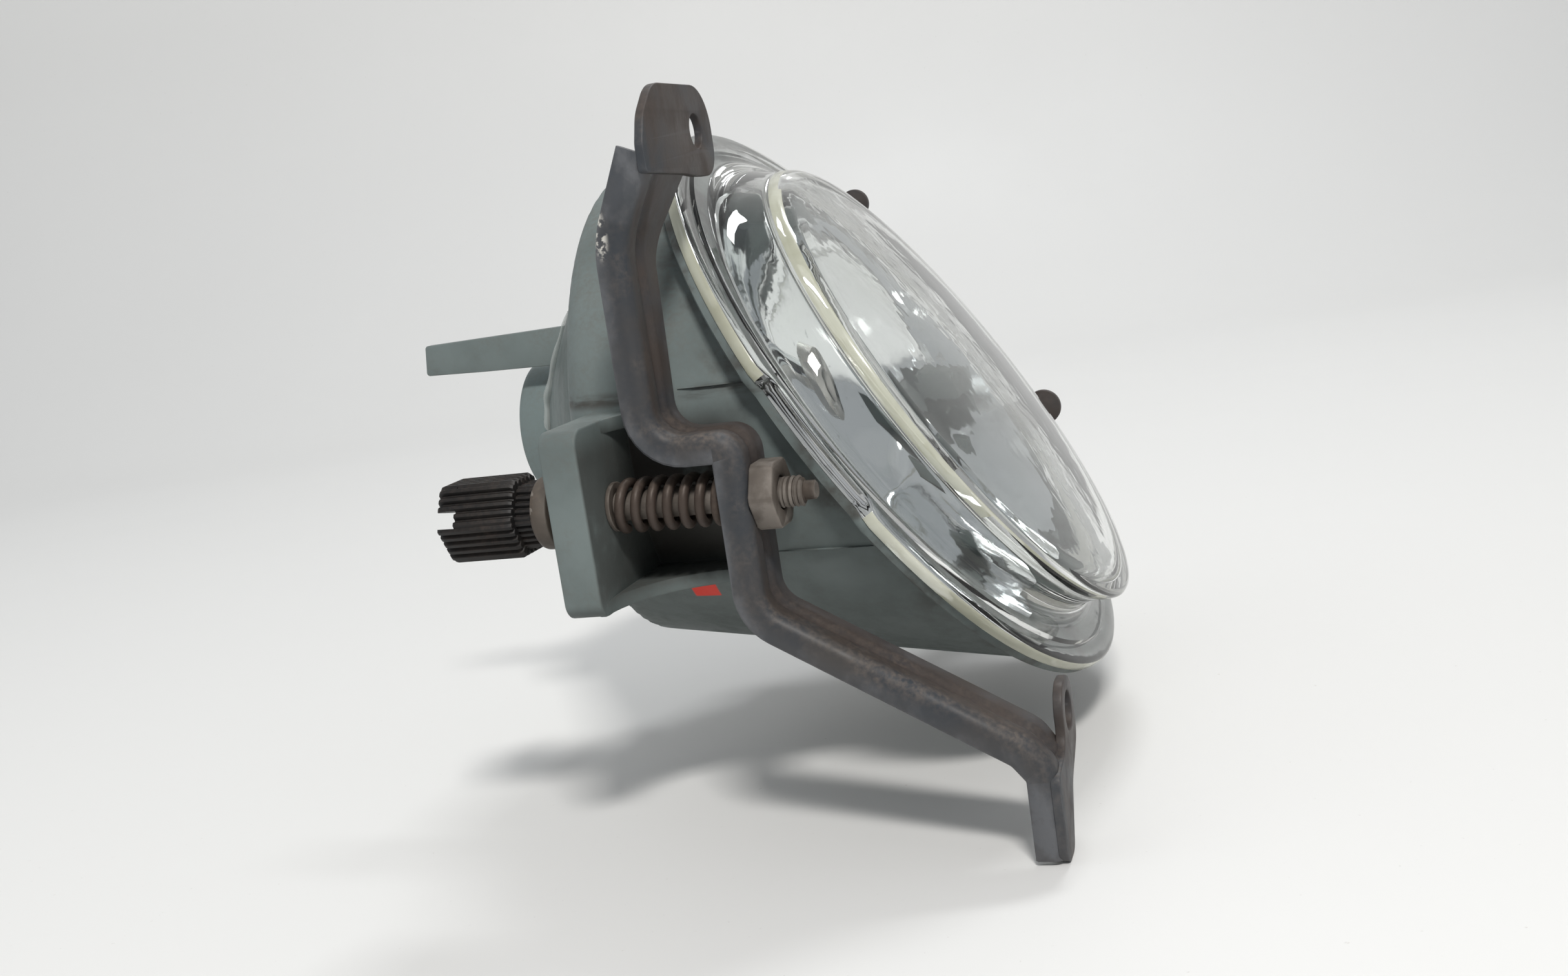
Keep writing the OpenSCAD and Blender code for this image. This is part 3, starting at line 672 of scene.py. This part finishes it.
# ---- sealant ---------------------------------------------------------------
# A clear bead of hot glue run round the bowl's rear beside the ear, where the
# housing was closed up after repair; it stands up in uneven drops.
glue = Paint("clear_sealant")
glue.set(Base_Color=glue.blend((0.62, 0.66, 0.64), (0.48, 0.52, 0.5), glue.noise(90, 3)),
         Roughness=glue.noise(200, 2) * 0.2 + 0.12, Coat_Weight=0.6, Alpha=0.45)
glue_rings = []
glue_line = [(-73.2, -22, 30.0), (-77.2, -22, 22.0), (-80.8, -21, 14.0), (-83.3, -20, 8.0),
             (-84.0, -20.5, 1.0)]
for k in range(25):
    t = k / 24 * (len(glue_line) - 1)
    j = min(int(t), len(glue_line) - 2)
    p = Vector(glue_line[j]).lerp(Vector(glue_line[j + 1]), t - j)
    size = (1.0 + 0.18 * math.sin(k * 0.9 + 1)) * (1.1 + 1.3 * math.sin(math.pi * k / 30) ** 2)
    size *= min(1, (k + 0.3) / 2, (24.3 - k) / 2)
    glue_rings.append([at(p.x + 0.5 * size * math.cos(a * math.pi / 6),
                          p.y + 1.1 * size * math.sin(a * math.pi / 6),
                          p.z + 0.2 * size * math.cos(a * math.pi / 6)) for a in range(12)])
bead = add_mesh("sealant_bead", glue_rings, ends=True, smooth=80)
wear_on(bead, glue)
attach(bead, "lamp")

# ---- lens ------------------------------------------------------------------
# Clear polycarbonate in one moulding: a broad flat flange glued to the rim, a
# wall that leans forward along the beam, and a slightly domed face.
lens_paint = Paint("clear_polycarbonate")
scratch = lens_paint.noise(260, 5, (1, 0.3, 1)).ramp(0.55, 0.75)
haze = lens_paint.noise(60, 5).ramp(0.4, 0.75)
lens_paint.set(Base_Color=lens_paint.blend((0.985, 0.995, 0.985), (0.955, 0.975, 0.95), haze),
               Roughness=haze * 0.03 + scratch * 0.05 + 0.006, IOR=1.47,
               Transmission_Weight=1.0)
lens_paint.bump(lens_paint.noise(45, 3), 0.2, 0.0006)
strip_paint = Paint("lens_edge_glow")
strip_paint.set(Base_Color=strip_paint.blend((0.50, 0.50, 0.37), (0.72, 0.73, 0.60),
                                             strip_paint.noise(150, 4)),
                Roughness=strip_paint.noise(300, 3) * 0.2 + 0.12, Coat_Weight=0.5, Alpha=0.72)
lens_lift = 1.6 / math.cos(sweep)
dome, wall_top, face_r = 4.6, 13.2, 62.6
outer_lens = [(wall_top + dome * (1 - (r / face_r) ** 2), r, 1.0)
              for r in (0.01, 8, 16, 24, 32, 40, 46, 51, 55, 58)]
outer_lens += [(wall_top + 0.45, 60.4, 1), (wall_top + 0.05, 61.6, 1),
               (wall_top - 0.7, 62.5, 1),
               (wall_top - 1.2, 62.8, 1), (wall_top - 2.9, 63.0, 1), (wall_top - 3.3, 62.7, 1),
               (9.0, 62.8, 1), (7.0, 63.4, 1), (5.0, 64.1, 1), (3.9, 64.8, 0.95),
               (3.0, 65.9, 0.85), (2.4, 67.2, 0.6), (2.1, 68.6, 0.3), (2.0, 70.0, 0),
               (2.0, 72.6, 0), (1.2, 73.2, 0),
               (1.2, 75.2, 0), (1.0, 77.2, 0), (0.6, 77.8, 0), (0.0, 78.0, 0), (-1.6, 78.0, 0),
               (-1.95, 77.7, 0)]
inner_lens = [(-1.95, 68.0, 0), (-1.6, 66.0, 0.3), (-0.6, 64.0, 0.7), (1.2, 62.6, 0.9),
              (4.0, 61.6, 1), (7.0, 60.9, 1), (9.6, 60.4, 1), (11.0, 59.7, 1), (11.7, 58.2, 1)]
inner_lens += [(wall_top - 2.6 + (dome + 1.0) * (1 - (r / face_r) ** 2), r, 1.0)
               for r in (55, 50, 44, 36, 28, 20, 12, 6, 0.01)]


def lens_ring(height, radius, lean, count=240):
    """One ring of the lens: the wall and face lean, the flange is round the rim's centre."""
    ring = []
    for i in range(count):
        angle = 2 * math.pi * i / count
        tall = height
        if height > 3:
            tall -= 0.034 * radius * math.sin(angle) * (height / 13)
        slide = lean * (lens_lift - tall * math.tan(sweep))
        ring.append(rim_point(tall, radius, angle, slide))
    return ring


lens_rings = [lens_ring(*row) for row in outer_lens + inner_lens]
lens = add_mesh("lens_moulding", lens_rings, smooth=45)
lens.data.materials.append(lens_paint.material)
lens.data.materials.append(strip_paint.material)
glow_bands = ((wall_top - 2.95, wall_top - 1.0, 61, 63.4), (-1.9, 0.45, 77.0, 80.0))
for face in lens.data.polygons:
    spot = (face.center - rim_centre) / mm
    height = spot.dot(rim_normal)
    across = spot.dot(rim_up)
    if height > 3:
        height += 0.034 * spot.y * (height / 13)
        across -= lens_lift - height * math.tan(sweep)
    radius = math.hypot(across, spot.y)
    for low, high, r_low, r_high in glow_bands:
        if low < height < high and r_low < radius < r_high:
            face.material_index = 1
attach(lens, "lamp")
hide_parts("lens")

# ---- reflector -------------------------------------------------------------
# A parabolic bowl moulded with the housing and coated with bright aluminium
# in vacuum; the coating follows small waves of the moulding.
mirror = Paint("vacuum_aluminium")
wave = mirror.noise(28, 2)
spotting = mirror.noise(420, 4).ramp(0.62, 0.8)
mirror.set(Base_Color=mirror.blend((0.86, 0.88, 0.89), (0.55, 0.57, 0.58), spotting),
           Metallic=1.0, Roughness=spotting * 0.25 + mirror.noise(50, 3) * 0.10 + 0.02)
mirror.bump(wave + mirror.noise(90, 3) * 0.15, 0.6, 0.0011)
mirror_lines = [(-68.9, 11.7), (-64 + 11.7 ** 2 / 96, 11.75)]
mirror_lines += [(-64 + r * r / 96, r) for r in range(13, 92, 3)]
mirror_back = [(-68.9, 13.6), (-65.5 + 13.8 ** 2 / 96, 13.8)]
mirror_back += [(-65.5 + r * r / 96, r) for r in range(15, 92, 3)]
mirror_rings = []
for i in range(directions):
    angle = 2 * math.pi * i / directions
    front_side = bowl_side(angle, 3.95, -2.2, 60, mirror_lines)
    back_side = bowl_side(angle, 2.5, -2.2, 40, mirror_back)
    mirror_rings.append(front_side + back_side[::-1])
reflector = add_mesh("mirror_bowl", mirror_rings, around=True, along=True, smooth=50)
wear_on(reflector, mirror)
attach(reflector, "lamp")
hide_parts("reflector")

# ---- adjuster screw --------------------------------------------------------
# A rolled M6 screw of 1 mm pitch in zinc-plated steel, dusty and a little
# rusty, with a dog point. The thread is a real helix wound by geometry nodes.
zinc = aged("dusty_zinc", (0.085, 0.070, 0.058), (0.050, 0.038, 0.030), (0.12, 0.095, 0.075),
            gloss=0.55, dusting=0.85, metallic=0.2, grain=0.00018, wear=(0.24, 0.215, 0.19))


def helix_tool(name):
    """A geometry tree that sweeps a round or pointed section along a helix on X."""
    tree = bpy.data.node_groups.new(name, "GeometryNodeTree")
    tree.is_modifier = True
    for label, kind in (("Turns", "NodeSocketFloat"), ("Radius", "NodeSocketFloat"),
                        ("Length", "NodeSocketFloat"), ("Section", "NodeSocketFloat"),
                        ("Sides", "NodeSocketInt"), ("Steps", "NodeSocketInt"),
                        ("Material", "NodeSocketMaterial")):
        tree.interface.new_socket(label, in_out="INPUT", socket_type=kind)
    tree.interface.new_socket("Geometry", in_out="OUTPUT", socket_type="NodeSocketGeometry")
    add = tree.nodes.new
    given, out = add("NodeGroupInput"), add("NodeGroupOutput")
    coil, ring = add("GeometryNodeCurveSpiral"), add("GeometryNodeCurvePrimitiveCircle")
    sweep_node, coat = add("GeometryNodeCurveToMesh"), add("GeometryNodeSetMaterial")
    real = add("GeometryNodeRealizeInstances")
    sweep_node.inputs["Fill Caps"].default_value = True
    turn = add("GeometryNodeTransform")
    turn.inputs["Rotation"].default_value = (0, math.pi / 2, 0)
    link = tree.links.new
    link(given.outputs["Turns"], coil.inputs["Rotations"])
    link(given.outputs["Radius"], coil.inputs["Start Radius"])
    link(given.outputs["Radius"], coil.inputs["End Radius"])
    link(given.outputs["Length"], coil.inputs["Height"])
    link(given.outputs["Steps"], coil.inputs["Resolution"])
    link(given.outputs["Section"], ring.inputs["Radius"])
    link(given.outputs["Sides"], ring.inputs["Resolution"])
    link(coil.outputs["Curve"], sweep_node.inputs["Curve"])
    link(ring.outputs["Curve"], sweep_node.inputs["Profile Curve"])
    link(sweep_node.outputs["Mesh"], turn.inputs["Geometry"])
    link(turn.outputs["Geometry"], real.inputs["Geometry"])
    link(real.outputs["Geometry"], coat.inputs["Geometry"])
    link(given.outputs["Material"], coat.inputs["Material"])
    link(coat.outputs["Geometry"], out.inputs["Geometry"])
    return tree


def run_tool(name, tree, values):
    """Runs a geometry tree with these inputs and keeps its result as a plain mesh."""
    piece = bpy.data.objects.new(name, bpy.data.meshes.new(name))
    scene.collection.objects.link(piece)
    modifier = piece.modifiers.new("tool", "NODES")
    modifier.node_group = tree
    for item in tree.interface.items_tree:
        if item.in_out == "INPUT" and item.name in values:
            modifier[item.identifier] = values[item.name]
    graph = bpy.context.evaluated_depsgraph_get()
    mesh = bpy.data.meshes.new_from_object(piece.evaluated_get(graph))
    bpy.data.objects.remove(piece)
    return mesh


helix = helix_tool("helix_on_x")
screw_low, screw_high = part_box("adjuster_screw")
screw_axis = (screw_low + screw_high) / 2
pitch = 1.0 * mm
thread_from = screw_high.x - 19 * mm
thread_to = screw_high.x - 2.6 * mm
thread_mesh = run_tool("thread", helix, {
    "Turns": (thread_to - thread_from) / pitch, "Radius": 2.62 * mm,
    "Length": thread_to - thread_from, "Section": 0.46 * mm, "Sides": 5, "Steps": 40,
    "Material": zinc.material})
thread_mesh.transform(Matrix.Translation((thread_from, screw_axis.y, screw_axis.z)))
thread = finish_mesh("thread", thread_mesh, 50)


def turned(name, outline, centre, sides=64, smooth=35):
    """A piece turned about X: outline is (x, radius) in metres, centre gives Y and Z."""
    rings = [[Vector((x, centre.y + r * math.cos(2 * math.pi * i / sides),
                      centre.z + r * math.sin(2 * math.pi * i / sides)))
              for i in range(sides)] for x, r in outline]
    return add_mesh(name, rings, ends=True, smooth=smooth)


shank = turned("shank", [
    (screw_low.x, 2.6 * mm), (screw_low.x + 0.4 * mm, 3 * mm), (thread_from - 0.3 * mm, 3 * mm),
    (thread_from, 2.55 * mm), (thread_to, 2.55 * mm), (thread_to + 0.4 * mm, 1.9 * mm),
    (screw_high.x - 0.3 * mm, 1.85 * mm), (screw_high.x, 1.55 * mm)], screw_axis)
screw = join("screw", [thread, shank])
wear_on(screw, zinc)
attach(screw, "adjuster")
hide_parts("adjuster_screw")

# ---- aim spring ------------------------------------------------------------
# Hard-drawn 2 mm steel wire wound in eight turns, held between the housing's
# ear and the bracket's web, brown with dust and light rust.
rust = aged("brown_spring_steel", (0.075, 0.057, 0.047), (0.042, 0.030, 0.024),
            (0.14, 0.108, 0.084), gloss=0.5, dusting=0.7, metallic=0.2, grain=0.0001)
spring_low, spring_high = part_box("aim_spring")
wire_r = 1.0 * mm
coil_r = (spring_high.y - spring_low.y) / 2 - wire_r
spring_mesh = run_tool("coil", helix, {
    "Turns": 7.6, "Radius": coil_r, "Length": spring_high.x - spring_low.x - 2 * wire_r,
    "Section": wire_r, "Sides": 14, "Steps": 48, "Material": rust.material})
spring_mesh.transform(Matrix.Translation((
    spring_low.x + wire_r, (spring_low.y + spring_high.y) / 2,
    (spring_low.z + spring_high.z) / 2)))
spring = finish_mesh("spring", spring_mesh, 60)
wear_on(spring, rust)
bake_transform(spring)
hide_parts("aim_spring")

# ---- adjuster knob ---------------------------------------------------------
# Black nylon with six flats, each moulded with five grip ribs, and a slot
# across its end for a flat screwdriver; it is pressed onto the screw.
knob_black = aged("dusty_black_nylon", (0.010, 0.0095, 0.0095), (0.018, 0.015, 0.013),
                  (0.070, 0.050, 0.040), gloss=0.52, dusting=0.5, grain=0.00008)
knob_low, knob_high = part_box("adjuster_knob")
knob_axis = (knob_low + knob_high) / 2
knob_r = 9.2 * mm
knob_outline = []
ribs_per_flat, flats = 5, 6
for side in range(flats):
    first, last = (math.radians(60 * side), math.radians(60 * (side + 1)))
    a, b = Vector((math.cos(first), math.sin(first))), Vector((math.cos(last), math.sin(last)))
    out = (a + b).normalized()
    for k in range(ribs_per_flat * 8):
        t = (k + 0.5) / (ribs_per_flat * 8)
        ripple = 0.5 - 0.5 * math.cos(2 * math.pi * t * ribs_per_flat)
        deep = 0.085 * (1 - min(1, ripple * 1.7))
        knob_outline.append(a.lerp(b, t) * 0.985 - out * (deep - 0.03))
slot_half, slot_depth, slot_turn = 0.2, 4.2, math.radians(-12)
across = Vector((-math.sin(slot_turn), math.cos(slot_turn)))


def knob_part(name, outline, stations):
    """A length of the knob's ribbed section, drawn at each (x, scale) station."""
    rings = [[Vector((knob_low.x + x * mm, knob_axis.y + p.x * knob_r * scale,
                      knob_axis.z + p.y * knob_r * scale)) for p in outline]
             for x, scale in stations]
    return add_mesh(name, rings, ends=True, smooth=28)


lobes = []
for side in (1, -1):
    lobe = [p for p in knob_outline if p.dot(across) * side > slot_half + 0.02]
    first = max(range(len(lobe)), key=lambda i: (lobe[i] - lobe[i - 1]).length)
    lobe = lobe[first:] + lobe[:first]
    for p in (lobe[-1], lobe[0]):
        lobe.append(p - across * (p.dot(across) - side * slot_half))
    lobes.append(knob_part("knob_lobe", lobe, (
        (0, 0.90), (0.5, 0.965), (1.2, 0.99), (slot_depth, 0.99))))
knob = join("grip_knob", lobes + [knob_part("knob_body", knob_outline, (
    (slot_depth - 0.01, 0.99), (16.2, 0.99), (17.0, 0.94), (17.2, 0.80), (20.6, 0.78)))])
wear_on(knob, knob_black)
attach(knob, "adjuster")
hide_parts("adjuster_knob")

# ---- collar, washer, retainer and nut ---------------------------------------
# Small zinc-plated steel pieces on the adjuster: a turned collar behind the
# ear, a square washer, a retaining ring in front of it, and the welded nut.


def refined_copy(node, width, segments=2, angle=35):
    """A copy of a CAD node with merged flat faces and its edges broken."""
    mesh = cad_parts[node].data.copy()
    work = bmesh.new()
    work.from_mesh(mesh)
    bmesh.ops.remove_doubles(work, verts=work.verts, dist=5e-6)
    bmesh.ops.dissolve_limit(work, angle_limit=math.radians(0.6), verts=work.verts,
                             edges=work.edges)
    bmesh.ops.recalc_face_normals(work, faces=work.faces)
    work.to_mesh(mesh)
    work.free()
    piece = bpy.data.objects.new(node + "_real", mesh)
    scene.collection.objects.link(piece)
    return rounded(piece, width, segments, angle)


for node, body, width in (
    ("adjuster_collar", "adjuster", 0.5), ("ear_washer", "lamp", 0.2),
    ("screw_retainer", "adjuster", 0.2), ("adjuster_nut", "bracket", 0.45)):
    part = refined_copy(node, width * mm, 2, 30)
    wear_on(part, zinc)
    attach(part, body)
    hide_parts(node)

# ---- rear cap --------------------------------------------------------------
# A twist-on cap moulded in the housing's plastic with two grip rows and the
# socket of the loom's connector, which points away from the adjuster.
cap = refined_copy("rear_cap", 0.6 * mm, 2, 35)
cap_plastic = aged("grey_cap_plastic", (0.172, 0.214, 0.212), (0.130, 0.165, 0.162),
                   (0.14, 0.12, 0.10), gloss=0.5, dusting=0.3, grain=0.00006)
wear_on(cap, cap_plastic)
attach(cap, "bulb_cap")
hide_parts("rear_cap")

# ---- pivot bracket, pin, clip and bushes ------------------------------------
# The far bracket is pressed from the same sheet as the near one. Its pin is a
# headed zinc pin held by a spring clip, turning in two nylon bushes.
far_bracket = refined_copy("pivot_bracket", 0.3 * mm, 2, 35)
wear_on(far_bracket, black_paint)
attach(far_bracket, "bracket")
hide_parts("pivot_bracket")
for node, paint, width in (("pivot_pin", zinc, 0.3), ("pivot_clip", zinc, 0.12)):
    part = refined_copy(node, width * mm, 2, 35)
    wear_on(part, paint)
    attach(part, "bracket")
    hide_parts(node)
nylon = aged("cream_nylon", (0.62, 0.57, 0.46), (0.5, 0.45, 0.36), (0.3, 0.25, 0.2),
             gloss=0.45, dusting=0.3)
bushes = refined_copy("pivot_bushes", 0.25 * mm, 2, 35)
wear_on(bushes, nylon)
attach(bushes, "lamp")
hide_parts("pivot_bushes")

# ---- seals and vent --------------------------------------------------------
# Soft black rubber: the cord under the lens flange, the ring under the rear
# cap and the cap over the breather.
rubber = aged("black_rubber", (0.018, 0.018, 0.018), (0.03, 0.029, 0.028),
              (0.1, 0.085, 0.07), gloss=0.65, dusting=0.4)
for node in ("lens_seal", "cap_seal", "vent_cap"):
    wear_on(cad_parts[node], rubber)

# ---- bulb, glare shield and contacts ----------------------------------------
# A halogen bulb with a pressed flange, held by a wire clip and one screw; a
# plated glare shield riveted in front of it, and brass blades behind it.
bright = aged("bright_pressed_steel", (0.62, 0.61, 0.59), (0.5, 0.49, 0.47),
              (0.4, 0.36, 0.3), gloss=0.25, dusting=0.15, metallic=1.0, grain=0.00003)
brass = aged("brass_contacts", (0.66, 0.48, 0.2), (0.5, 0.34, 0.13), (0.3, 0.22, 0.14),
             gloss=0.3, dusting=0.2, metallic=1.0, grain=0.00003)
tungsten = aged("tungsten_wire", (0.2, 0.2, 0.21), (0.12, 0.12, 0.13), (0.2, 0.19, 0.18),
                gloss=0.35, dusting=0.1, metallic=1.0, grain=0.00002)
quartz = Paint("quartz_glass")
quartz.set(Base_Color=quartz.blend((0.97, 0.98, 0.98), (0.90, 0.92, 0.92),
                                   quartz.noise(120, 3)),
           Roughness=quartz.noise(150, 3) * 0.05 + 0.005, IOR=1.46, Transmission_Weight=1.0)
for paint, nodes in (
    (bright, ("glare_shield", "shield_rivets", "bulb_flange", "bulb_base", "bulb_clip",
              "clip_screw")),
    (brass, ("contact_blades", "connector_pins")), (tungsten, ("bulb_filament",)),
    (quartz, ("bulb_glass",))):
    for node in nodes:
        wear_on(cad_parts[node], paint)
